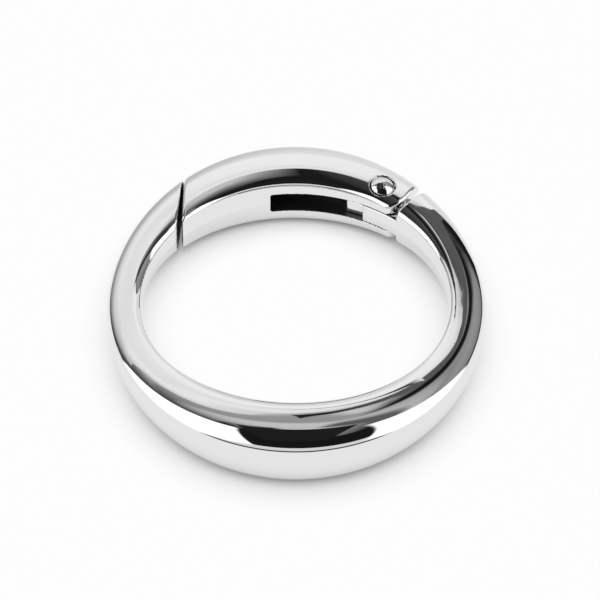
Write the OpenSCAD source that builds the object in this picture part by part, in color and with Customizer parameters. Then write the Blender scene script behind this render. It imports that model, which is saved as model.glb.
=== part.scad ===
/* [Ring] */
// Clear diameter of the opening, across the ridge at mid-height
inner_d = 38; // [25:0.5:60]
// Radial thickness from the ridge, at the gate's middle and opposite it
thick_w = 8.2; // [6:0.1:11]
// Height of the section at the gate's middle and opposite it
thick_h = 7.95; // [7:0.05:12]
// Radial thickness from the ridge, at the two slim sides
side_w = 4.35; // [3:0.05:7]
// Height of the section at the two slim sides
side_h = 4.1; // [3.5:0.1:7]
// Height of the flat inner wall at the gate's middle
wall_h = 5.7; // [4.2:0.1:6.5]
// Height of the flat inner wall at the two slim sides
side_wall_h = 3.9; // [2.4:0.1:4]
// Lean of the inner wall, both ways from the ridge, in degrees
wall_draft = 6.5; // [0:0.5:10]
// Squareness of the rounded section, where 2 is an ellipse
fullness = 2.85; // [2:0.05:3.6]
// How long the section stays slim at the sides
taper = 2.4; // [1.6:0.1:3.6]
// Rounding where the inner wall meets the domed top and bottom
crease_r = 0.3; // [0.1:0.05:0.8]

/* [Gate] */
// Angle of the gate's free end, counted round the ring
tip_angle = 140; // [126:1:150]
// Gap between the gate's free end and the ring
tip_gap = 0.55; // [0.3:0.05:1]
// Angle of the far end of the spring pocket
pocket_angle = 99.9; // [88:0.1:112]
// Height of the pocket and of the slot for the tongue
slot_h = 2.8; // [2:0.1:3.4]
// Metal left outside the pocket, at the gate's middle
pocket_wall = 2.6; // [1.4:0.1:3]

/* [Hinge] */
// Angle of the hinge pin, counted round the ring
pin_angle = 59.4; // [50:0.1:68]
// Distance of the hinge pin's axis from the inner ridge
pin_depth = 2.8; // [2.4:0.1:3.4]
// Diameter of the hinge pin's shank
pin_d = 2; // [1.2:0.1:2.4]
// Diameter of the domed rivet heads
head_d = 3.2; // [2.6:0.1:3.8]
// Thickness of a rivet head from its seat to the top of its dome
head_h = 1.1; // [0.6:0.1:1.6]
// Gap round each rivet head in its counterbore
head_gap = 0.3; // [0.1:0.05:0.4]
// Radius of the gate's rounded end about the hinge pin
knuckle_r = 3.5; // [3:0.1:4.2]
// Gap between the gate's rounded end and the ring's shoulder
shoulder_gap = 0.6; // [0.3:0.05:1]
// Gap between the pin and the tongue's hole, on the radius
running_gap = 0.05; // [0.02:0.01:0.1]
// Gap between the pin and the holes in the gate's two cheeks, on the radius
rivet_gap = 0.02; // [0.01:0.01:0.05]

/* [Tongue] */
// Gap above and below the tongue in its slot
tongue_gap = 0.12; // [0.05:0.01:0.3]
// Radius of the tongue's eye round the hinge pin
eye_r = 2.6; // [2:0.1:3]
// Distance that the tongue's flush face runs on past the pin
foot_l = 1.6; // [0.8:0.1:2.4]
// Distance that the tongue's nose runs on past the pin
nose_l = 4; // [3:0.1:5]
// Depth of the nose's inner face behind the inner wall
nose_set = 0.85; // [0.4:0.05:1.2]
// Radial thickness of the nose
nose_t = 1.7; // [1.2:0.1:2.2]

/* [Spring] */
// Thickness of the bowed leaf spring
leaf_t = 0.35; // [0.2:0.05:0.5]
// Height of the leaf spring's bow over the line between its ends
leaf_bow = 0.9; // [0.4:0.1:1.4]
// Gap above and below the leaf spring in the pocket
leaf_gap = 0.2; // [0.1:0.05:0.4]
// Gap between the leaf spring's ends and what they bear on
seat_gap = 0.08; // [0.05:0.01:0.2]

/* [Hidden] */
$fn = 96;

inner_r = inner_d / 2;
pin_rho = inner_r + pin_depth;
tip_x = inner_r * cos(tip_angle);
shoulder_angle = pin_angle - asin((knuckle_r + shoulder_gap) / pin_rho);
pocket_r = inner_r + thick_w - pocket_wall;
tongue_h = slot_h - 2 * tongue_gap;
leaf_h = slot_h - 2 * leaf_gap;
tall = 4 * thick_h;
wide = 4 * thick_w;
eps = 0.01;

// Angle past the hinge pin that spans a length along the ring
function past_pin(l) = pin_angle + asin(l / pin_rho);

foot_angle = past_pin(foot_l);
nose_angle = past_pin(nose_l);
nose_in = inner_r + nose_set;
nose_out = nose_in + nose_t;

// The section swells from the slim sides to the two thick places
function swell(a) = pow(abs(sin(a)), taper);
function between(slim, thick, a) = slim + (thick - slim) * swell(a);

// Superellipse power of a cosine or sine
function power(v) = sign(v) * pow(abs(v), 2 / fullness);

// Share of the half width at which the inner wall cuts the rounded section
function cut(h, wall) = pow(1 - pow(wall / h, fullness), 1 / fullness);

// Point at a share k of the way from p to q
function toward(p, q, k) = p + (q - p) * k;

// Three points that round the corner c between its neighbours p and q
function rounded(p, c, q) =
    let (a = toward(c, p, min(0.45, crease_r / norm(p - c))),
         b = toward(c, q, min(0.45, crease_r / norm(q - c))))
    [a, a / 4 + c / 2 + b / 4, b];

// Outline of the section at the angle a, as [radius, height] from the upper
// crease over the top and round the outside to the lower crease and the ridge
arc_n = 22;
function outline(a) =
    let (h = between(side_h, thick_h, a) / 2,
         wall = between(side_wall_h, wall_h, a) / 2,
         r_in = inner_r + wall * tan(wall_draft),
         r_out = inner_r + between(side_w, thick_w, a),
         q = cut(h, wall),
         mid = (r_in + q * r_out) / (1 + q),
         half = r_out - mid,
         start = 180 - atan2(pow(wall / h, fullness / 2), pow(q, fullness / 2)),
         dome = [for (i = [1 : arc_n - 1])
             let (t = start - 2 * start * i / arc_n)
             [mid + half * power(cos(t)), h * power(sin(t))]],
         ridge = [inner_r, 0],
         up = [r_in, wall],
         low = [r_in, -wall])
    concat(rounded(ridge, up, dome[0]), dome,
        rounded(dome[len(dome) - 1], low, ridge), [ridge]);

// Ring casting's form swept between two angles
module swept(from, to, step) {
    n = ceil((to - from) / step);
    rows = [for (i = [0 : n])
        let (a = from + (to - from) * i / n)
        [for (p = outline(a)) [p[0] * cos(a), p[0] * sin(a), p[1]]]];
    m = len(rows[0]);
    points = [for (row = rows) each row];
    sides = [for (i = [0 : n - 1], j = [0 : m - 1])
        let (k = (j + 1) % m)
        each [[i * m + j, (i + 1) * m + k, i * m + k],
              [i * m + j, (i + 1) * m + j, (i + 1) * m + k]]];
    first = [for (j = [0 : m - 1]) j];
    last = [for (j = [m - 1 : -1 : 0]) n * m + j];
    polyhedron(points, concat(sides, [first, last]), convexity = 6);
}

// Places children at the hinge pin, with +Y outwards and -X along the gate
module at_pin() {
    rotate(pin_angle) translate([pin_rho, 0, 0]) rotate(-90) children();
}

// Flat sector of a band between two radii and two angles
module sector(r1, r2, from, to, h) {
    rotate([0, 0, from])
        rotate_extrude(angle = to - from)
            translate([r1, -h / 2]) square([r2 - r1, h]);
}

// Space on the ring's side of the hinge pin, outside the gate's round end
module beyond_knuckle() {
    at_pin()
        linear_extrude(tall, center = true)
            difference() {
                translate([0, -wide / 2]) square([wide / 2, wide]);
                circle(knuckle_r);
                square([knuckle_r, wide / 2]);
            }
}

// Pocket for the spring, which is also the slot that the tongue turns in
module pocket() {
    sector(inner_r / 2, pocket_r, pin_angle, pocket_angle, slot_h);
    at_pin()
        translate([-eps, -wide / 2, -slot_h / 2]) cube([wide / 2, wide, slot_h]);
}

// Height of the rivet heads' seats, below the domed top at the pin
seat_z = between(side_h, thick_h, pin_angle) / 2 - head_h;

module pin_hole(gap) {
    at_pin() cylinder(d = pin_d + 2 * gap, h = tall, center = true);
}

module counterbores() {
    for (side = [0, 1])
        mirror([0, 0, side])
            at_pin() translate([0, 0, seat_z]) cylinder(d = head_d + 2 * head_gap, h = thick_h);
}

// Tongue of the ring body, as seen from above
module tongue() {
    sector(inner_r, pin_rho + eye_r * 0.8, shoulder_angle - 2, pin_angle, tongue_h);
    at_pin() cylinder(r = eye_r, h = tongue_h, center = true);
    sector(inner_r, pin_rho, pin_angle - 1, foot_angle, tongue_h);
    sector(nose_in, nose_out, pin_angle - 1, nose_angle, tongue_h);
}

// Opening of the ring, a double cone with its ridge at mid-height
module opening() {
    reach = inner_r + tall * tan(wall_draft);
    rotate_extrude()
        polygon([[0, -tall], [reach, -tall], [inner_r, 0], [reach, tall], [0, tall]]);
}

module ring_body() {
    color("Silver")
        difference() {
            union() {
                difference() {
                    swept(tip_angle - 378, shoulder_angle, 4);
                    translate([tip_x - tip_gap, 0, -tall / 2]) cube([wide / 2, wide * 2, tall]);
                }
                difference() {
                    tongue();
                    opening();
                }
            }
            pin_hole(running_gap);
        }
}

module gate() {
    color("Gainsboro")
        difference() {
            swept(shoulder_angle + 1, tip_angle + 6, 3.6);
            translate([tip_x - wide, 0, -tall / 2]) cube([wide, wide * 2, tall]);
            beyond_knuckle();
            pocket();
            pin_hole(rivet_gap);
            counterbores();
        }
}

// Radius of the sphere whose cap is the head's dome
dome_h = head_h / 2;
dome_r = (pow(head_d / 2, 2) + pow(dome_h, 2)) / (2 * dome_h);

module rivet_head() {
    cylinder(d = head_d, h = head_h - dome_h);
    intersection() {
        translate([0, 0, head_h - dome_r]) sphere(dome_r);
        translate([0, 0, head_h - dome_h]) cylinder(d = head_d, h = dome_h);
    }
}

module hinge_pin() {
    color("LightGray")
        at_pin() {
            cylinder(d = pin_d, h = 2 * seat_z + head_h, center = true);
            for (side = [0, 1])
                mirror([0, 0, side]) translate([0, 0, seat_z]) rivet_head();
        }
}

// Point in the mid-plane at a radius and an angle
function polar(r, a) = [r * cos(a), r * sin(a)];

// The leaf spring is an arc from the nose's outer face to the pocket's far end
leaf_p = polar(nose_out + seat_gap + leaf_t / 2, nose_angle - 2);
leaf_q = polar(pocket_r - seat_gap - leaf_t / 2, pocket_angle - 1);
leaf_half = norm(leaf_q - leaf_p) / 2;
leaf_r = (pow(leaf_half, 2) + pow(leaf_bow, 2)) / (2 * leaf_bow);
leaf_dir = atan2(leaf_p[0] - leaf_q[0], leaf_q[1] - leaf_p[1]);
leaf_mid = (leaf_p + leaf_q) / 2 - polar(leaf_r - leaf_bow, leaf_dir);
leaf_turn = asin(leaf_half / leaf_r);

module return_spring() {
    color("SlateGray")
        translate([leaf_mid[0], leaf_mid[1], 0])
            sector(leaf_r - leaf_t / 2, leaf_r + leaf_t / 2,
                leaf_dir - leaf_turn, leaf_dir + leaf_turn, leaf_h);
}

ring_body();
gate();
hinge_pin();
return_spring();
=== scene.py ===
import math

import bpy
import numpy as np
from mathutils import Matrix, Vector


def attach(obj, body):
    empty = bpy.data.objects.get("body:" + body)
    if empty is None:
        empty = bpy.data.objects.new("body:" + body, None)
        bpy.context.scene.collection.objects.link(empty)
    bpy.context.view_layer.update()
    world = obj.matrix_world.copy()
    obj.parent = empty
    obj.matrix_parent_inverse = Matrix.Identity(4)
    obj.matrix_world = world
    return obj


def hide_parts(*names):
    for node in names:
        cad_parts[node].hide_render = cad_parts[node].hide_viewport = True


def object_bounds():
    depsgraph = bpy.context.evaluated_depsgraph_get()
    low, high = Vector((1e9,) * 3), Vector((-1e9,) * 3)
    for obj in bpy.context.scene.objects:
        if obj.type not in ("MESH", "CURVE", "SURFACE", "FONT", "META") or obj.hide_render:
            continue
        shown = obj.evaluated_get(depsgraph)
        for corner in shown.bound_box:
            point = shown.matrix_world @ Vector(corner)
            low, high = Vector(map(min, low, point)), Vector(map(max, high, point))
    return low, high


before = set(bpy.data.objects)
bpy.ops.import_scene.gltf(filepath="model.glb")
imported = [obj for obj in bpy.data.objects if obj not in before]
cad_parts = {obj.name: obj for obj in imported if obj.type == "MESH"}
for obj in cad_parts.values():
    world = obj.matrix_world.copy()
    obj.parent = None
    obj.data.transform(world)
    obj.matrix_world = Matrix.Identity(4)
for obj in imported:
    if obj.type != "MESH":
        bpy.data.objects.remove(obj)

cad_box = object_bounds()


# Ring body: a C-shaped zinc die casting, thick at the front and back and slim at the sides. Its inner
# wall leans both ways from the die's parting ridge. A tongue cast on its right end reaches into the
# gate: an eye for the rivet, a foot that stops the gate when shut, and a nose that bends the spring.
INNER_R = 19.0
FRONT_W, BACK_W, LEFT_W, RIGHT_W = 8.20, 8.52, 4.38, 4.56
THICK_H, SIDE_H = 7.95, 4.08
WALL_H, SIDE_WALL_H = 5.68, 3.94
DRAFT = math.tan(math.radians(6.5))
SQUARE_R, SQUARE_Z, TAPER = 2.9, 2.8, 2.3
CREASE_R, LEFT_CREASE_R, RIGHT_CREASE_R = 0.26, 1.10, 0.5
PIN_ANGLE, PIN_RHO = math.radians(59.4), 21.8
PIN = (PIN_RHO * math.cos(PIN_ANGLE), PIN_RHO * math.sin(PIN_ANGLE))
PIN_TO_SHOULDER = 4.1
SHOULDER_ANGLE = PIN_ANGLE - math.asin(PIN_TO_SHOULDER / PIN_RHO)
BACK_Y = 5.0
TIP_X, TIP_Y = INNER_R * math.cos(math.radians(140)), 12.2
TIP_GAP, TIP_RELIEF = 0.55, math.tan(math.radians(3.2))
TONGUE_H, ROOT_LAP, ROOT_DEPTH = 2.56, 0.035, 2.0
FOOT_TURN, NOSE_TURN, HEEL_TURN = 0.0734, 0.21, 0.02
NOSE_FRONT, NOSE_BACK = 1.0, 2.55
EYE_R, EYE_HOLE_R = 2.6, 1.05
END_FILLET, FOOT_FILLET, NOSE_FILLET, TONGUE_FILLET = 0.25, 0.2, 0.35, 0.14


# Both castings are formulas, in millimetres, that are below zero in the metal. A swept section can't
# give the small fillets where the slot, the recess and the parting faces cut it, which a mirror
# finish shows more than anything else.
def round_max(a, b, radius):
    """Overlap of two solids with a fillet of that radius on the edge where they meet."""
    corner = np.sqrt(np.maximum(a + radius, 0) ** 2 + np.maximum(b + radius, 0) ** 2)
    return np.minimum(-radius, np.maximum(a, b)) + corner


def wall_gap(r, z):
    """How far a point lies inside the opening, off the drafted inner wall."""
    return (INNER_R + np.abs(z) * DRAFT - r) / math.hypot(1, DRAFT)


def ring_form(x, y, z, crease):
    """The closed ring: a rounded section that swells to front and back, with a crease at its wall."""
    r = np.hypot(x, y)
    swell = (np.abs(y) / r) ** TAPER
    high = (SIDE_H + (THICK_H - SIDE_H) * swell) / 2
    wall = (SIDE_WALL_H + (WALL_H - SIDE_WALL_H) * swell) / 2
    near = INNER_R + wall * DRAFT
    thick = (FRONT_W + BACK_W) / 2 + (BACK_W - FRONT_W) / 2 * y / r
    thin = (LEFT_W + RIGHT_W) / 2 + (RIGHT_W - LEFT_W) / 2 * x / r
    far = INNER_R + thin + (thick - thin) * swell
    cut = (1 - (wall / high) ** SQUARE_Z) ** (1 / SQUARE_R)
    middle = (near + cut * far) / (1 + cut)
    half = far - middle
    u = np.abs(r - middle) / half
    v = np.abs(z) / high
    value = u ** SQUARE_R + v ** SQUARE_Z - 1
    slope = np.hypot(SQUARE_R * u ** (SQUARE_R - 1) / half, SQUARE_Z * v ** (SQUARE_Z - 1) / high)
    core_slope = 0.06
    return round_max(value / np.maximum(slope, core_slope), wall_gap(r, z), crease)


def pin_frame(x, y):
    """Place as seen from the hinge pin: u towards the shoulder, v outwards."""
    dx, dy = x - PIN[0], y - PIN[1]
    return (dx * math.sin(PIN_ANGLE) - dy * math.cos(PIN_ANGLE),
            dx * math.cos(PIN_ANGLE) + dy * math.sin(PIN_ANGLE))


def parting_gap(x, y):
    """Distance past the body's free end, into the gap at the gate's tip, which narrows outwards."""
    return x - TIP_X + TIP_GAP - (y - TIP_Y) * TIP_RELIEF


def sector(turn, r, start, end):
    """The part of the ring between two angles."""
    return np.maximum((turn - end) * r, -(turn - start) * r)


def ring_body(x, y, z):
    """The ring without its gate, and the tongue with its root, foot, nose and eye."""
    shoulder = y * math.cos(SHOULDER_ANGLE) - x * math.sin(SHOULDER_ANGLE)
    kept = np.minimum(np.minimum(parting_gap(x, y), shoulder), y - BACK_Y)
    r = np.hypot(x, y)
    crease = (CREASE_R + (LEFT_CREASE_R - CREASE_R) * np.maximum(-x / r, 0) ** 2
              + (RIGHT_CREASE_R - CREASE_R) * np.maximum(x / r, 0) ** 2)
    casting = round_max(ring_form(x, y, z, crease), kept, END_FILLET)
    turn = np.arctan2(y, x)
    from_pin = np.hypot(*pin_frame(x, y))
    root = np.maximum(sector(turn, r, SHOULDER_ANGLE - ROOT_LAP, PIN_ANGLE),
                      np.maximum(wall_gap(r, z), r - PIN_RHO - ROOT_DEPTH))
    foot = round_max(sector(turn, r, PIN_ANGLE - HEEL_TURN, PIN_ANGLE + FOOT_TURN),
                     np.maximum(wall_gap(r, z), r - PIN_RHO), FOOT_FILLET)
    nose = round_max(sector(turn, r, PIN_ANGLE - HEEL_TURN, PIN_ANGLE + NOSE_TURN),
                     np.maximum(INNER_R + NOSE_FRONT - r, r - INNER_R - NOSE_BACK), NOSE_FILLET)
    tongue = np.minimum(np.minimum(root, foot), np.minimum(nose, from_pin - EYE_R))
    tongue = round_max(tongue, np.abs(z) - TONGUE_H / 2, TONGUE_FILLET)
    return np.maximum(np.minimum(casting, tongue), EYE_HOLE_R - from_pin)


def skin(name, solid, low, high, step):
    """A closed mesh of a solid, with each point and its normal taken from the solid's own formula."""
    low = np.array(low, float)
    count = np.ceil((np.array(high) - low) / step).astype(int) + 1
    axes = [low[i] + step * np.arange(count[i]) for i in range(3)]
    value = solid(*np.meshgrid(*axes, indexing="ij"))
    metal = value < 0

    # Each cell of the grid that the surface passes through gets one point, in the middle of the
    # places where the surface crosses the cell's edges.
    cells = tuple(count - 1)
    total, hits = np.zeros(cells + (3,)), np.zeros(cells)
    corner = np.indices(cells).transpose(1, 2, 3, 0)
    for axis in range(3):
        for sides in ((0, 0), (0, 1), (1, 0), (1, 1)):
            start, end = np.insert(sides, axis, 0), np.insert(sides, axis, 1)
            a, b = [tuple(slice(s, s + n) for s, n in zip(shift, cells)) for shift in (start, end)]
            cross = metal[a] != metal[b]
            spot = (corner + start).astype(float)
            spot[..., axis] += np.where(cross, value[a] / np.where(cross, value[a] - value[b], 1), 0)
            total += spot * cross[..., None]
            hits += cross
    live = hits > 0
    index = np.full(cells, -1)
    index[live] = np.arange(live.sum())
    points = low + step * total[live] / hits[live][:, None]

    def gradient(p):
        nudge = 1e-3
        return np.stack([(solid(*(p + nudge * d).T) - solid(*(p - nudge * d).T)) / (2 * nudge)
                         for d in np.eye(3)], 1)

    # The points are moved onto the true surface, in steps too short to fold the mesh.
    for _ in range(4):
        g = gradient(points)
        move = solid(*points.T)[:, None] * g / np.maximum((g ** 2).sum(1), 0.05)[:, None]
        length = np.linalg.norm(move, axis=1)[:, None]
        points = points - move * np.minimum(1, 0.4 * step / np.maximum(length, 1e-9))
    normals = gradient(points)
    normals /= np.maximum(np.linalg.norm(normals, axis=1), 1e-9)[:, None]

    # Each edge of the grid that the surface crosses becomes a face between the four cells round it.
    quads = []
    for axis in range(3):
        b, c = (axis + 1) % 3, (axis + 2) % 3
        front = [slice(1, -1)] * 3
        front[axis] = slice(0, -1)
        back = list(front)
        back[axis] = slice(1, None)
        here, there = metal[tuple(front)], metal[tuple(back)]
        for start, flip in ((here & ~there, False), (there & ~here, True)):
            at = np.argwhere(start)
            at[:, b] += 1
            at[:, c] += 1
            around = []
            for sb, sc in ((-1, -1), (0, -1), (0, 0), (-1, 0)):
                q = at.copy()
                q[:, b] += sb
                q[:, c] += sc
                around.append(index[q[:, 0], q[:, 1], q[:, 2]])
            quad = np.stack(around, 1)
            quads.append(quad[:, ::-1] if flip else quad)
    quads = np.concatenate(quads)
    mesh = bpy.data.meshes.new(name)
    mesh.vertices.add(len(points))
    mesh.vertices.foreach_set("co", (points / 1000).ravel())
    mesh.loops.add(quads.size)
    mesh.loops.foreach_set("vertex_index", quads.ravel())
    mesh.polygons.add(len(quads))
    mesh.polygons.foreach_set("loop_start", np.arange(len(quads)) * 4)
    mesh.update(calc_edges=True)
    mesh.validate()
    mesh.shade_smooth()
    mesh.normals_split_custom_set_from_vertices(normals)
    piece = bpy.data.objects.new(name, mesh)
    bpy.context.collection.objects.link(piece)
    return piece


def linear(code):
    """sRGB hex colour as linear red, green, blue and alpha."""
    parts = [int(code[i:i + 2], 16) / 255 for i in (1, 3, 5)]
    return [c / 12.92 if c <= 0.04045 else ((c + 0.055) / 1.055) ** 2.4 for c in parts] + [1]


def add(tree, kind, links=(), **settings):
    """Adds a node with its settings, and links its inputs or gives them values."""
    made = tree.nodes.new(kind)
    for key, value in settings.items():
        if hasattr(made, key):
            setattr(made, key, value)
        else:
            made.inputs[key.replace("_", " ")].default_value = value
    for socket, source in dict(links).items():
        if isinstance(source, bpy.types.NodeSocket):
            tree.links.new(source, made.inputs[socket])
        else:
            made.inputs[socket].default_value = source
    return made


def new_material(name):
    """Starts a material with an empty tree, and gives both."""
    material = bpy.data.materials.new(name)
    material.use_nodes = True
    material.node_tree.nodes.clear()
    return material, material.node_tree


# Bright chrome over buffed zinc: a true mirror, broken only by the buffing wheel's faint lines round
# the ring, wider strokes beside them, and the slight waviness that a polished casting keeps. Real
# lines are too fine to show, so they are drawn 0.12 mm wide. One radian is 1.5 mm of the pattern.
BUFF_LINE_MM, STROKE_MM, WAVE_MM = 0.12, 1.3, 3.5
RADIAN_OF_LINE = 0.0015
STROKE_DEPTH, WAVE_DEPTH = 0.00001, 0.000005
chrome, tree = new_material("bright_chrome_plate")
place = add(tree, "ShaderNodeTexCoord").outputs["Object"]
x, y, z = add(tree, "ShaderNodeSeparateXYZ", {"Vector": place}).outputs
turn = add(tree, "ShaderNodeMath", {0: y, 1: x}, operation="ARCTAN2").outputs[0]
along = add(tree, "ShaderNodeMath", {0: turn, 1: RADIAN_OF_LINE}, operation="MULTIPLY").outputs[0]
flat = add(tree, "ShaderNodeCombineXYZ", {"X": x, "Y": y})
radius = add(tree, "ShaderNodeVectorMath", {0: flat.outputs[0]}, operation="LENGTH").outputs["Value"]
lines = add(tree, "ShaderNodeCombineXYZ", {"X": radius, "Y": along, "Z": z}).outputs[0]
buffing = add(tree, "ShaderNodeTexNoise", {"Vector": lines}, Scale=1000 / BUFF_LINE_MM / 2,
              Detail=3.0, Roughness=0.6)
polish = add(tree, "ShaderNodeMapRange", {"Value": buffing.outputs["Fac"]}, From_Min=0.3,
             From_Max=0.75, To_Min=0.012, To_Max=0.055)
strokes = add(tree, "ShaderNodeTexNoise", {"Vector": lines}, Scale=1000 / STROKE_MM / 2, Detail=2.0)
drag = add(tree, "ShaderNodeBump", {"Height": strokes.outputs["Fac"]}, Distance=STROKE_DEPTH)
waves = add(tree, "ShaderNodeTexNoise", {"Vector": place}, Scale=1000 / WAVE_MM, Detail=1.0)
peel = add(tree, "ShaderNodeBump", {"Height": waves.outputs["Fac"], "Normal": drag.outputs[0]},
           Distance=WAVE_DEPTH)
shader = add(tree, "ShaderNodeBsdfPrincipled",
             {"Roughness": polish.outputs["Result"], "Normal": peel.outputs["Normal"]},
             Base_Color=linear("#e6e6e6"), Metallic=1.0)
add(tree, "ShaderNodeOutputMaterial", {"Surface": shader.outputs["BSDF"]})

# Raw casting under thin plating: the faces at the parting gap and in the gate's pocket, which no
# buffing wheel reaches. They keep the die's fine grain, so they are dull; their dark grey is painted
# shade for these deep, narrow places.
GRAIN_MM, GRAIN_DEPTH, RAW_REACH = 0.25, 0.00002, 0.04
raw_shaded_finish, tree = new_material("raw_casting_with_painted_shade")
place = add(tree, "ShaderNodeTexCoord").outputs["Object"]
grain = add(tree, "ShaderNodeTexNoise", {"Vector": place}, Scale=1000 / GRAIN_MM, Detail=4.0)
pitting = add(tree, "ShaderNodeBump", {"Height": grain.outputs["Fac"]}, Distance=GRAIN_DEPTH)
# The dark base grey is painted shade for the deep pocket and the narrow gap; the roughness is the real
# dull grain.
shader = add(tree, "ShaderNodeBsdfPrincipled", {"Normal": pitting.outputs[0]},
             Base_Color=linear("#6a6a6c"), Metallic=1.0, Roughness=0.5)
add(tree, "ShaderNodeOutputMaterial", {"Surface": shader.outputs["BSDF"]})


def leave_raw_shaded(piece, surface):
    """Gives the dull raw finish, whose dark grey is painted shade, to the faces whose centres lie on a
    surface, given by its formula.
    """
    piece.data.materials.append(raw_shaded_finish)
    centres = np.zeros(len(piece.data.polygons) * 3)
    piece.data.polygons.foreach_get("center", centres)
    raw = np.abs(surface(*(centres.reshape(-1, 3) * 1000).T)) < RAW_REACH
    piece.data.polygons.foreach_set("material_index", raw.astype(np.int32))


BODY_GRID = 0.19
body = skin("ring_casting", ring_body, (-24.2, -28.0, -4.9), (24.2, 23.4, 4.9), BODY_GRID)
body.data.materials.append(chrome)
leave_raw_shaded(body, lambda x, y, z: np.where(y > BACK_Y, parting_gap(x, y), np.inf))
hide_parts("ring_body")
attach(body, "ring")


# Gate: the second zinc casting, hinged on the rivet. A slot in its inner wall takes the body's tongue
# and the leaf spring, a round recess in each cheek takes a rivet head, and its hinge end is rounded
# about the pin so that it can swing in. Plated like the body.
KNUCKLE_R, PIN_HOLE_R = 3.5, 1.02
SLOT_H, POCKET_R, POCKET_END = 2.8, 24.6, math.radians(99.9)
RECESS_R, SEAT_Z = 1.68, 2.293
TIP_FILLET, KNUCKLE_FILLET, SLOT_FILLET, LIP_FILLET, POCKET_FILLET = 0.55, 0.4, 0.1, 0.18, 0.3


def pocket(x, y, z):
    """The slot with the closed pocket behind it, and the gap between the two cheeks."""
    r = np.hypot(x, y)
    high = np.abs(z) - SLOT_H / 2
    end = round_max((np.arctan2(y, x) - POCKET_END) * r, high, POCKET_FILLET)
    return np.minimum(np.maximum(end, r - POCKET_R), np.maximum(-pin_frame(x, y)[0], high))


def gate(x, y, z):
    """The ring's back with its free tip and its knuckle, less the pocket, recesses and pin hole."""
    u, v = pin_frame(x, y)
    from_pin = np.hypot(u, v)
    end = np.minimum(np.minimum(u, from_pin - KNUCKLE_R), np.maximum(u - KNUCKLE_R, -v))
    form = round_max(ring_form(x, y, z, CREASE_R), TIP_X - x, TIP_FILLET)
    form = round_max(form, end, KNUCKLE_FILLET)
    form = round_max(form, -pocket(x, y, z), SLOT_FILLET)
    form = round_max(form, -np.maximum(from_pin - RECESS_R, SEAT_Z - np.abs(z)), LIP_FILLET)
    return np.maximum(form, PIN_HOLE_R - from_pin)


GATE_GRID = 0.14
gate_piece = skin("gate_casting", gate, (-15.4, 11.0, -4.9), (16.4, 27.8, 4.9), GATE_GRID)
gate_piece.data.materials.append(chrome)
leave_raw_shaded(gate_piece, lambda x, y, z: np.minimum(np.abs(pocket(x, y, z)), np.abs(x - TIP_X)))
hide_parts("gate")
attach(gate_piece, "gate")


# Hinge pin: a steel rivet through both cheeks of the gate and the tongue's eye. Each end is spun over
# into a domed head in its recess, and sits a little askew. A flat sheet is rolled into one head: its
# first part is the dome, then comes the side, and its last part closes the head from below.
MM = 0.001
HEAD_R, HEAD_SIDE, HEAD_RIM_Z, SHANK_R = 1.53, 0.85, 3.25, 1.0
DOME_EDGE, HEAD_LEAN, LEAN_TOWARDS = math.radians(46), math.radians(12), math.radians(52)
DOME_PART, SIDE_PART = 0.7, 0.9


def new_form(name, sizes):
    """Starts a geometry tree with named sizes and a finish, and gives it with its input node."""
    form = bpy.data.node_groups.new(name, "GeometryNodeTree")
    for size in sizes:
        form.interface.new_socket(size, in_out="INPUT", socket_type="NodeSocketFloat")
    form.interface.new_socket("Finish", in_out="INPUT", socket_type="NodeSocketMaterial")
    form.interface.new_socket("Geometry", in_out="OUTPUT", socket_type="NodeSocketGeometry")
    return form, form.nodes.new("NodeGroupInput").outputs


def piece_from(tree, name, material, sizes):
    """Runs a geometry tree once and keeps its result as a plain mesh piece."""
    holder = bpy.data.objects.new(name, bpy.data.meshes.new(name))
    bpy.context.collection.objects.link(holder)
    modifier = holder.modifiers.new(name, "NODES")
    modifier.node_group = tree
    for item in tree.interface.items_tree:
        if item.name in sizes:
            modifier[item.identifier] = sizes[item.name]
        if item.name == "Finish":
            modifier[item.identifier] = material
    seen = holder.evaluated_get(bpy.context.evaluated_depsgraph_get())
    made = bpy.data.meshes.new_from_object(seen)
    holder.modifiers.remove(modifier)
    holder.data = made
    made.name = name
    return holder


form, size = new_form("rivet_form", ["Dome Radius", "Dome Edge", "Side", "Rim Height", "Lean", "Facing",
                                     "Shank Radius", "Shank Length", "Pin X", "Pin Y"])
sheet = add(form, "GeometryNodeMeshGrid", {"Vertices X": 97, "Vertices Y": 41, "Size X": 1.0,
                                           "Size Y": 1.0})
on_sheet = add(form, "GeometryNodeInputPosition")
across = add(form, "ShaderNodeSeparateXYZ", {0: on_sheet.outputs[0]})
angle = add(form, "ShaderNodeMath", {0: across.outputs["X"], 1: 2 * math.pi}, operation="MULTIPLY")
part = add(form, "ShaderNodeMath", {0: across.outputs["Y"], 1: 0.5}, operation="ADD").outputs[0]
fall = add(form, "ShaderNodeMapRange", {"Value": part, "To Max": size["Dome Edge"]},
           From_Max=DOME_PART)
drop = add(form, "ShaderNodeMapRange", {"Value": part, "To Max": size["Side"]}, From_Min=DOME_PART,
           From_Max=SIDE_PART)
close = add(form, "ShaderNodeMapRange", {"Value": part}, From_Min=SIDE_PART, To_Min=1.0, To_Max=0.0)
turned = add(form, "ShaderNodeCombineXYZ", {"X": fall.outputs[0], "Z": angle.outputs[0]})
swing = add(form, "FunctionNodeEulerToRotation", {0: turned.outputs[0]})
arm = add(form, "ShaderNodeCombineXYZ", {"Z": size["Dome Radius"]})
on_dome = add(form, "FunctionNodeRotateVector", {0: arm.outputs[0], 1: swing.outputs[0]})
px, py, pz = add(form, "ShaderNodeSeparateXYZ", {0: on_dome.outputs[0]}).outputs
edge = add(form, "ShaderNodeMath", {0: size["Dome Edge"]}, operation="COSINE")
rim = add(form, "ShaderNodeMath", {0: edge.outputs[0], 1: size["Dome Radius"], 2: drop.outputs[0]},
          operation="MULTIPLY_ADD")
px = add(form, "ShaderNodeMath", {0: px, 1: close.outputs[0]}, operation="MULTIPLY")
py = add(form, "ShaderNodeMath", {0: py, 1: close.outputs[0]}, operation="MULTIPLY")
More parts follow.
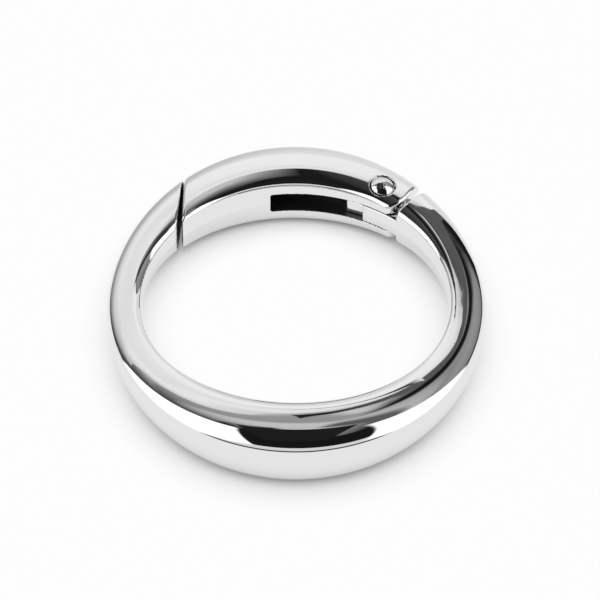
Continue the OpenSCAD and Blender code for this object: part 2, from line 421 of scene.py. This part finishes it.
pz = add(form, "ShaderNodeMath", {0: pz, 1: rim.outputs[0]}, operation="SUBTRACT")
spot = add(form, "ShaderNodeCombineXYZ", {0: px.outputs[0], 1: py.outputs[0], 2: pz.outputs[0]})
head = add(form, "GeometryNodeSetPosition", {"Geometry": sheet.outputs["Mesh"],
                                             "Position": spot.outputs[0]})
head = add(form, "GeometryNodeMergeByDistance", {"Geometry": head.outputs[0], "Distance": 2e-6})
head = add(form, "GeometryNodeFlipFaces", {"Mesh": head.outputs[0]})
lean = add(form, "ShaderNodeCombineXYZ", {"X": size["Lean"]})
lean = add(form, "FunctionNodeEulerToRotation", {0: lean.outputs[0]})
lift = add(form, "ShaderNodeCombineXYZ", {"Z": size["Rim Height"]})
head = add(form, "GeometryNodeTransform", {"Geometry": head.outputs[0], "Rotation": lean.outputs[0],
                                           "Translation": lift.outputs[0]})
ends = add(form, "GeometryNodeMeshLine", {"Count": 2, "Offset": (0, 0, 0)})
number = add(form, "GeometryNodeInputIndex")
half_turn = add(form, "ShaderNodeMath", {0: number.outputs[0], 1: math.pi}, operation="MULTIPLY")
half_turn = add(form, "ShaderNodeCombineXYZ", {"Y": half_turn.outputs[0]})
half_turn = add(form, "FunctionNodeEulerToRotation", {0: half_turn.outputs[0]})
heads = add(form, "GeometryNodeInstanceOnPoints", {"Points": ends.outputs["Mesh"],
                                                   "Instance": head.outputs[0],
                                                   "Rotation": half_turn.outputs[0]})
shank = add(form, "GeometryNodeMeshCylinder", {"Vertices": 64, "Radius": size["Shank Radius"],
                                               "Depth": size["Shank Length"]})
both = add(form, "GeometryNodeJoinGeometry", {0: shank.outputs["Mesh"]})
form.links.new(heads.outputs[0], both.inputs[0])
facing = add(form, "ShaderNodeCombineXYZ", {"Z": size["Facing"]})
facing = add(form, "FunctionNodeEulerToRotation", {0: facing.outputs[0]})
axis_place = add(form, "ShaderNodeCombineXYZ", {"X": size["Pin X"], "Y": size["Pin Y"]})
placed = add(form, "GeometryNodeTransform", {"Geometry": both.outputs[0], "Rotation": facing.outputs[0],
                                             "Translation": axis_place.outputs[0]})
solid = add(form, "GeometryNodeRealizeInstances", {"Geometry": placed.outputs[0]})
done = add(form, "GeometryNodeSetMaterial", {"Geometry": solid.outputs[0], "Material": size["Finish"]})
add(form, "NodeGroupOutput", {"Geometry": done.outputs[0]})

# Nickel plate on a spun steel head: bright, with faint rings about the pin's axis from the spinning,
# drawn 0.1 mm wide so that they show.
SPIN_LINE_MM, SPIN_DEPTH = 0.1, 0.0000004
nickel, tree = new_material("nickel_plated_spun_rivet")
place = add(tree, "ShaderNodeTexCoord").outputs["Object"]
centred = add(tree, "ShaderNodeMapping", {"Vector": place, "Location": (-PIN[0] * MM, -PIN[1] * MM, 0)})
flat = add(tree, "ShaderNodeVectorMath", {0: centred.outputs[0], 1: (1, 1, 0)}, operation="MULTIPLY")
ring = add(tree, "ShaderNodeVectorMath", {0: flat.outputs[0]}, operation="LENGTH")
spun = add(tree, "ShaderNodeTexNoise", {"W": ring.outputs["Value"]}, noise_dimensions="1D",
           Scale=1000 / SPIN_LINE_MM / 2, Detail=2.0)
sheen = add(tree, "ShaderNodeMapRange", {"Value": spun.outputs["Fac"]}, From_Min=0.3, From_Max=0.7,
            To_Min=0.03, To_Max=0.10)
marks = add(tree, "ShaderNodeBump", {"Height": spun.outputs["Fac"]}, Distance=SPIN_DEPTH)
shader = add(tree, "ShaderNodeBsdfPrincipled",
             {"Roughness": sheen.outputs[0], "Normal": marks.outputs[0]},
             Base_Color=linear("#e0e0df"), Metallic=1.0)
add(tree, "ShaderNodeOutputMaterial", {"Surface": shader.outputs["BSDF"]})

rivet = piece_from(form, "spun_rivet", nickel,
                   {"Dome Radius": HEAD_R / math.sin(DOME_EDGE) * MM, "Dome Edge": DOME_EDGE,
                    "Side": HEAD_SIDE * MM, "Rim Height": HEAD_RIM_Z * MM, "Lean": HEAD_LEAN,
                    "Facing": LEAN_TOWARDS, "Shank Radius": SHANK_R * MM,
                    "Shank Length": 2 * SEAT_Z * MM, "Pin X": PIN[0] * MM, "Pin Y": PIN[1] * MM})
rivet.data.shade_smooth()
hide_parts("hinge_pin")
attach(rivet, "gate")


# Leaf spring: a bowed strip of hardened steel in the gate's pocket. One end bears in the pocket's far
# corner and the other on the tongue's nose. It is a rounded strip section swept along an arc.
LEAF_T, LEAF_H, LEAF_BOW, LEAF_CORNER = 0.35, 2.4, 0.9, 0.06
NOSE_REACH, NOSE_SEAT_R, POCKET_SEAT_R = 4.0, 21.805, 24.345
near_turn = PIN_ANGLE + math.asin(NOSE_REACH / PIN_RHO) - math.radians(2)
far_turn = POCKET_END - math.radians(1)
near_end = (NOSE_SEAT_R * math.cos(near_turn), NOSE_SEAT_R * math.sin(near_turn))
far_end = (POCKET_SEAT_R * math.cos(far_turn), POCKET_SEAT_R * math.sin(far_turn))
half_span = math.dist(near_end, far_end) / 2
bend_r = (half_span ** 2 + LEAF_BOW ** 2) / (2 * LEAF_BOW)
leaf_facing = math.atan2(near_end[0] - far_end[0], far_end[1] - near_end[1])
leaf_sweep = math.asin(half_span / bend_r)
bend_x = (near_end[0] + far_end[0]) / 2 - (bend_r - LEAF_BOW) * math.cos(leaf_facing)
bend_y = (near_end[1] + far_end[1]) / 2 - (bend_r - LEAF_BOW) * math.sin(leaf_facing)

form, size = new_form("leaf_form", ["Thickness", "Height", "Corner", "Bend Radius", "Start", "Sweep",
                                    "Centre X", "Centre Y"])
bow = add(form, "GeometryNodeCurveArc", {"Resolution": 49, "Radius": size["Bend Radius"],
                                         "Start Angle": size["Start"], "Sweep Angle": size["Sweep"]})
strip = add(form, "GeometryNodeCurvePrimitiveQuadrilateral", {"Width": size["Thickness"],
                                                              "Height": size["Height"]})
strip = add(form, "GeometryNodeFilletCurve", {"Curve": strip.outputs[0], "Radius": size["Corner"]})
leaf = add(form, "GeometryNodeCurveToMesh", {"Curve": bow.outputs[0], "Profile Curve": strip.outputs[0],
                                             "Fill Caps": True})
centre = add(form, "ShaderNodeCombineXYZ", {"X": size["Centre X"], "Y": size["Centre Y"]})
leaf = add(form, "GeometryNodeTransform", {"Geometry": leaf.outputs[0], "Translation": centre.outputs[0]})
leaf = add(form, "GeometryNodeRealizeInstances", {"Geometry": leaf.outputs[0]})
leaf = add(form, "GeometryNodeSetMaterial", {"Geometry": leaf.outputs[0], "Material": size["Finish"]})
add(form, "NodeGroupOutput", {"Geometry": leaf.outputs[0]})

# Cold-drawn and hardened spring steel: dark grey and half dull, with fine lines along the strip,
# drawn 0.08 mm wide so that they show.
DRAW_LINE_MM = 0.08
steel, tree = new_material("drawn_spring_steel")
place = add(tree, "ShaderNodeTexCoord").outputs["Object"]
stretched = add(tree, "ShaderNodeMapping", {"Vector": place, "Scale": (0.04, 0.2, 1.0)})
drawn = add(tree, "ShaderNodeTexNoise", {"Vector": stretched.outputs[0]},
            Scale=1000 / DRAW_LINE_MM / 2, Detail=3.0)
sheen = add(tree, "ShaderNodeMapRange", {"Value": drawn.outputs["Fac"]}, From_Min=0.3, From_Max=0.7,
            To_Min=0.18, To_Max=0.42)
shade = add(tree, "ShaderNodeMix", {"Factor": drawn.outputs["Fac"], 6: linear("#55565a"),
                                    7: linear("#83848a")}, data_type="RGBA")
shader = add(tree, "ShaderNodeBsdfPrincipled",
             {"Base Color": shade.outputs[2], "Roughness": sheen.outputs[0]}, Metallic=1.0)
add(tree, "ShaderNodeOutputMaterial", {"Surface": shader.outputs["BSDF"]})

spring = piece_from(form, "leaf_spring", steel,
                    {"Thickness": LEAF_T * MM, "Height": LEAF_H * MM, "Corner": LEAF_CORNER * MM,
                     "Bend Radius": bend_r * MM, "Start": leaf_facing - leaf_sweep,
                     "Sweep": 2 * leaf_sweep, "Centre X": bend_x * MM, "Centre Y": bend_y * MM})
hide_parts("return_spring")
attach(spring, "gate")


# Studio table: a large sheet of white laminate under the ring. It shows as white to the eye and in
# the chrome, apart from the soft contact shadow, whose greys go by how much of the table is covered.
# The table, the card and the flags are laid out in metres.
TABLE, SHADOW_REACH = 1.2, 0.006
SHADOW_STEPS = ((0.0, 0.0), (0.1, 0.16), (0.3, 0.48), (0.5, 0.76), (0.7, 0.92), (0.9, 0.985))
floor_z = cad_box[0][2]


def set_greys(band, stops):
    """Fills a colour ramp with greys that stay level before the first stop and after the last."""
    greys = band.color_ramp.elements
    for end in (0, -1):
        greys[end].color = (*[stops[end][1]] * 3, 1)
    for at, grey in stops:
        greys.new(at).color = (grey, grey, grey, 1)


def stage_sheet(name, corners, material):
    """A flat sheet that belongs to the studio and not to the ring."""
    mesh = bpy.data.meshes.new(name)
    mesh.from_pydata(corners, [], [list(range(len(corners)))])
    mesh.materials.append(material)
    made = bpy.data.objects.new(name, mesh)
    bpy.context.collection.objects.link(made)
    return made


white, tree = new_material("white_table_laminate")
path = add(tree, "ShaderNodeLightPath").outputs
seen = add(tree, "ShaderNodeMath", {0: path["Is Camera Ray"], 1: path["Is Glossy Ray"]},
           operation="MAXIMUM")
seen = add(tree, "ShaderNodeMath", {0: seen.outputs[0], 1: path["Is Transmission Ray"]},
           operation="MAXIMUM")
shadow = add(tree, "ShaderNodeAmbientOcclusion", Distance=SHADOW_REACH, samples=16)
band = add(tree, "ShaderNodeValToRGB", {"Fac": shadow.outputs["AO"]})
set_greys(band, SHADOW_STEPS)
matt = add(tree, "ShaderNodeBsdfDiffuse", Color=linear("#f7f7f7"))
glow = add(tree, "ShaderNodeEmission", {"Color": band.outputs[0]}, Strength=1.0)
face = add(tree, "ShaderNodeMixShader", {0: seen.outputs[0], 1: matt.outputs[0], 2: glow.outputs[0]})
add(tree, "ShaderNodeOutputMaterial", {"Surface": face.outputs[0]})
stage_sheet("table", [(-TABLE, -TABLE, floor_z), (TABLE, -TABLE, floor_z), (TABLE, TABLE, floor_z),
                      (-TABLE, TABLE, floor_z)], white)


# Back card: a tall white card close behind the ring, with a black rim along its sloping right edge.
# It dims to the left and at its upper right corner. Only the chrome sees it.
CARD_Y, CARD_LEFT, CARD_TOP, RIM_SET = 0.075, -0.17, 0.097, 0.001
LEFT_SLANT, CORNER_SLANT = 1.2, 0.8
CARD_EDGE = ((-0.012, 0.103), (0.002, 0.1015), (0.012, 0.094), (0.021, 0.081), (0.0285, 0.071),
             (0.036, 0.056), (0.041, 0.042), (0.053, 0.026), (0.066, 0.013), (0.074, floor_z))
RIM_EDGE = ((-0.002, 0.1022), (0.002, 0.109), (0.012, 0.103), (0.023, 0.0925), (0.033, 0.079),
            (0.0375, 0.066), (0.040, 0.058), (0.045, 0.044), (0.055, 0.028), (0.068, 0.014),
            (0.076, floor_z))
CARD_BANDS = ((0.05, 0.92), (0.20, 0.86), (0.34, 0.90), (0.42, 1.05), (0.60, 1.02), (0.74, 0.90),
              (0.86, 1.0), (0.94, 0.86), (1.0, 0.80))
card_white, tree = new_material("white_card")
place = add(tree, "ShaderNodeTexCoord").outputs["Object"]
side, _, up = add(tree, "ShaderNodeSeparateXYZ", {0: place}).outputs
slant = add(tree, "ShaderNodeMath", {0: up, 1: LEFT_SLANT, 2: side}, operation="MULTIPLY_ADD")
left_fade = add(tree, "ShaderNodeMapRange", {"Value": slant.outputs[0]}, From_Min=-0.115,
                From_Max=0.035, To_Min=0.08)
slant = add(tree, "ShaderNodeMath", {0: side, 1: CORNER_SLANT, 2: up}, operation="MULTIPLY_ADD")
fade = add(tree, "ShaderNodeMapRange", {"Value": slant.outputs[0], "To Min": left_fade.outputs[0]},
           From_Min=0.089, From_Max=0.106, To_Max=0.25)
tenths = add(tree, "ShaderNodeMath", {0: up, 1: 10.0}, operation="MULTIPLY")
band = add(tree, "ShaderNodeValToRGB", {"Fac": tenths.outputs[0]})
set_greys(band, CARD_BANDS)
glow = add(tree, "ShaderNodeEmission", {"Color": band.outputs[0], "Strength": fade.outputs[0]})
add(tree, "ShaderNodeOutputMaterial", {"Surface": glow.outputs[0]})

# The rim is a glowing strip that only the chrome sees. Its glow rises from near black at its left to dim
# grey towards its right.
rim_glow_sheet, tree = new_material("black_rim_fading_to_grey")
place = add(tree, "ShaderNodeTexCoord").outputs["Object"]
side = add(tree, "ShaderNodeSeparateXYZ", {0: place}).outputs["X"]
rim_glow_rise = add(tree, "ShaderNodeMapRange", {"Value": side}, From_Min=0.010, From_Max=0.028,
           To_Min=0.015, To_Max=0.11)
glow = add(tree, "ShaderNodeEmission", {"Strength": rim_glow_rise.outputs[0]}, Color=(1, 1, 1, 1))
add(tree, "ShaderNodeOutputMaterial", {"Surface": glow.outputs[0]})

card_outline = [(CARD_LEFT, floor_z), (CARD_LEFT, CARD_TOP), *CARD_EDGE]
rim_outline = [(RIM_EDGE[0][0], floor_z), *RIM_EDGE]
cards = [stage_sheet("back_card", [(a, CARD_Y, b) for a, b in card_outline], card_white),
         stage_sheet("card_rim", [(a, CARD_Y + RIM_SET, b) for a, b in rim_outline], rim_glow_sheet)]


# Two flags. One is black felt and leans over the gate, in a plane that the front of the ring sees edge
# on: it thins out at its left, has lighter streaks in its nap, and catches light at its right edge.
# The other is a plain black card that hangs level above the front. Only the chrome sees them.
GATE_FLAG, GATE_FLAG_FADE = ((-0.0075, 0.0125), (0.0205, 0.045)), 0.28
FLAG_SLOPE, FRONT_Y, FRONT_Z = math.tan(math.radians(30)), -0.024, 0.004
FRONT_FLAG, FRONT_FLAG_Z = ((-0.025, -0.070), (0.027, 0.003)), 0.075
NAP = ((0.0, 0.0), (0.28, 0.012), (0.34, 0.014), (0.41, 0.04), (0.59, 0.055), (0.71, 0.085),
       (0.77, 0.012), (0.86, 0.010), (0.93, 0.10), (1.0, 1.0))
felt, tree = new_material("black_flag_felt")
place = add(tree, "ShaderNodeTexCoord").outputs["Object"]
side = add(tree, "ShaderNodeSeparateXYZ", {0: place}).outputs["X"]
across = add(tree, "ShaderNodeMapRange", {"Value": side}, From_Min=GATE_FLAG[0][0],
             From_Max=GATE_FLAG[1][0])
cover = add(tree, "ShaderNodeMapRange", {"Value": across.outputs[0]}, From_Max=GATE_FLAG_FADE)
band = add(tree, "ShaderNodeValToRGB", {"Fac": across.outputs[0]})
set_greys(band, NAP)
clear = add(tree, "ShaderNodeBsdfTransparent")
dark = add(tree, "ShaderNodeEmission", {"Color": band.outputs[0]}, Strength=1.0)
face = add(tree, "ShaderNodeMixShader", {0: cover.outputs[0], 1: clear.outputs[0], 2: dark.outputs[0]})
add(tree, "ShaderNodeOutputMaterial", {"Surface": face.outputs[0]})

black_card, tree = new_material("black_card")
glow = add(tree, "ShaderNodeEmission", Color=(1, 1, 1, 1), Strength=0.015)
add(tree, "ShaderNodeOutputMaterial", {"Surface": glow.outputs[0]})


def flag(name, corners, height, material):
    """A four-sided flag between two corners, at a height that can change from front to back."""
    (left, near), (right, far) = corners
    outline = ((left, near), (right, near), (right, far), (left, far))
    return stage_sheet(name, [(a, b, height(b)) for a, b in outline], material)


cards += [flag("gate_flag", GATE_FLAG, lambda b: FRONT_Z + (b - FRONT_Y) * FLAG_SLOPE, felt),
          flag("front_flag", FRONT_FLAG, lambda b: FRONT_FLAG_Z, black_card)]
for card in cards:
    card.visible_camera = False
    card.visible_diffuse = False
    card.visible_shadow = False


# Studio surround: a soft white panel on each side, a grey wall behind with a black post right of its
# middle, a roof lit at its back right, and a dark room in front with a light strip low down. Each one
# has straight edges, given as planes by their facing and offset.
PANEL_LIGHT, STRIP_LIGHT, LOW_LIGHT, DARK_LIGHT, WALL_END_LIGHT = 1.4, 0.82, 0.05, 0.010, 0.06
RIGHT_EDGE, LEFT_EDGE = (0.719, 0.584, -0.377), (-0.897, 0.310, -0.317)
WALL_LEFT = ((30, 0.60), (44, 0.72), (46, 0.36), (50.5, 0.34), (53.5, 0.66), (60, 0.64), (66, 0.60),
             (72, 0.30))
WALL_RIGHT = ((3, 0.05), (8, 0.08), (13, 0.26), (25, 0.30), (35, 0.35), (42, 0.29), (46, 0.44),
              (52, 0.54), (57, 0.13), (68, 0.12))
ROOF = ((-0.30, 0.05), (-0.20, 0.30), (-0.12, 0.06), (-0.08, 0.03), (-0.04, 0.60), (0.06, 0.66),
        (0.12, 0.50), (0.20, 0.36), (0.30, 0.20), (0.42, 0.08))
world = bpy.data.worlds.new("studio")
bpy.context.scene.world = world
world.use_nodes = True
sky = world.node_tree
sky.nodes.clear()
ray = add(sky, "ShaderNodeTexCoord").outputs["Generated"]
x, y, z = add(sky, "ShaderNodeSeparateXYZ", {0: ray}).outputs
bearing = add(sky, "ShaderNodeMath", {0: x, 1: y}, operation="ARCTAN2").outputs[0]
height = add(sky, "ShaderNodeMath", {0: z}, operation="ARCSINE").outputs[0]


def inside(*planes, corner=0.03):
    """How far a direction lies inside all of these planes, whose corners are rounded."""
    depth = None
    for *facing, offset in planes:
        past = add(sky, "ShaderNodeVectorMath", {0: ray, 1: facing}, operation="DOT_PRODUCT")
        past = add(sky, "ShaderNodeMath", {0: past.outputs["Value"], 1: offset}, operation="SUBTRACT")
        if depth is None:
            depth = past.outputs[0]
        else:
            depth = add(sky, "ShaderNodeMath", {0: depth, 1: past.outputs[0], 2: corner},
                        operation="SMOOTH_MIN").outputs[0]
    return depth


def lay(under, over, measure, start, end):
    """Lays one brightness over another as a measure runs from start to end."""
    amount = add(sky, "ShaderNodeMapRange", {"Value": measure}, interpolation_type="SMOOTHSTEP",
                 From_Min=start, From_Max=end)
    return add(sky, "ShaderNodeMix", {0: amount.outputs[0], 2: under, 3: over}).outputs[0]


# The walls are lit in bands by height, given in degrees, and the roof in bands from left to right.
upright = add(sky, "ShaderNodeMath", {0: height, 1: 2 / math.pi}, operation="MULTIPLY").outputs[0]
sideways = add(sky, "ShaderNodeMath", {0: x, 1: 0.5}, operation="ADD").outputs[0]
lit = {}
for name, measure, unit, shift, stops in (("left", upright, 90, 0, WALL_LEFT),
                                          ("right", upright, 90, 0, WALL_RIGHT),
                                          ("roof", sideways, 1, 0.5, ROOF)):
    band = add(sky, "ShaderNodeValToRGB", {"Fac": measure})
    set_greys(band, [(at / unit + shift, grey) for at, grey in stops])
    lit[name] = band.outputs[0]

right_panel = inside((*RIGHT_EDGE, 0), (0.358, -0.934, 0, 0), (0.26, 0.443, 0.858, 0))
left_panel = inside((*LEFT_EDGE, 0), (-0.391, -0.921, 0, 0), (-0.304, 0.482, 0.822, 0))
dark_room = inside((0, 0, 1, 0.358), (*[-c for c in RIGHT_EDGE], 0), (*[-c for c in LEFT_EDGE], 0),
                   corner=0.12)
black_post = inside((-0.644, 0.629, -0.436, -0.01), (1, 0, 0, 0.14))
lit_roof = inside((0.6, 0.8, 0, 0))

wall = lay(lit["left"], WALL_END_LIGHT, bearing, math.radians(-8), math.radians(-70))
wall = lay(wall, lit["right"], bearing, math.radians(7), math.radians(14))
wall = lay(wall, DARK_LIGHT, black_post, -0.03, 0.03)
room = lay(LOW_LIGHT, STRIP_LIGHT, z, 0.09, 0.12)
room = lay(room, DARK_LIGHT, dark_room, -0.012, 0.012)
roof = lay(DARK_LIGHT, lit["roof"], lit_roof, -0.08, 0.06)
light = lay(wall, room, y, 0.02, -0.02)
light = lay(light, roof, z, 0.893, 0.912)
light = lay(light, PANEL_LIGHT, right_panel, -0.03, 0.03)
light = lay(light, PANEL_LIGHT, left_panel, -0.015, 0.02)
path = add(sky, "ShaderNodeLightPath").outputs
light = lay(light, 1.0, path["Is Camera Ray"], 0, 1)
shine = add(sky, "ShaderNodeBackground", {"Strength": light}, Color=(1, 1, 1, 1))
add(sky, "ShaderNodeOutputWorld", {"Surface": shine.outputs[0]})


# Camera: a long lens, 35 cm from the ring, that looks down on it from the front at 44 degrees, as in
# the photograph. It is rolled a third of a degree, and its frame is set a few pixels aside.
ELEVATION, DISTANCE, ROLL = math.radians(44.174), 0.34794, 0.006
FRAME_PX, FOCAL_PX, CENTRE_PX = 600, 2803.2, (295.52, 305.86)
lens = bpy.data.cameras.new("camera")
camera = bpy.data.objects.new("camera", lens)
bpy.context.collection.objects.link(camera)
camera.matrix_world = (
    Matrix.Translation((0, -DISTANCE * math.cos(ELEVATION), DISTANCE * math.sin(ELEVATION)))
    @ Matrix.Rotation(math.pi / 2 - ELEVATION, 4, "X") @ Matrix.Rotation(ROLL, 4, "Z"))
lens.sensor_fit = "HORIZONTAL"
lens.sensor_width = 36
lens.lens = lens.sensor_width * FOCAL_PX / FRAME_PX
lens.shift_x = (FRAME_PX / 2 - CENTRE_PX[0]) / FRAME_PX
lens.shift_y = (CENTRE_PX[1] - FRAME_PX / 2) / FRAME_PX
lens.clip_start = 0.01
bpy.context.scene.camera = camera
bpy.context.scene.view_settings.view_transform = "Standard"
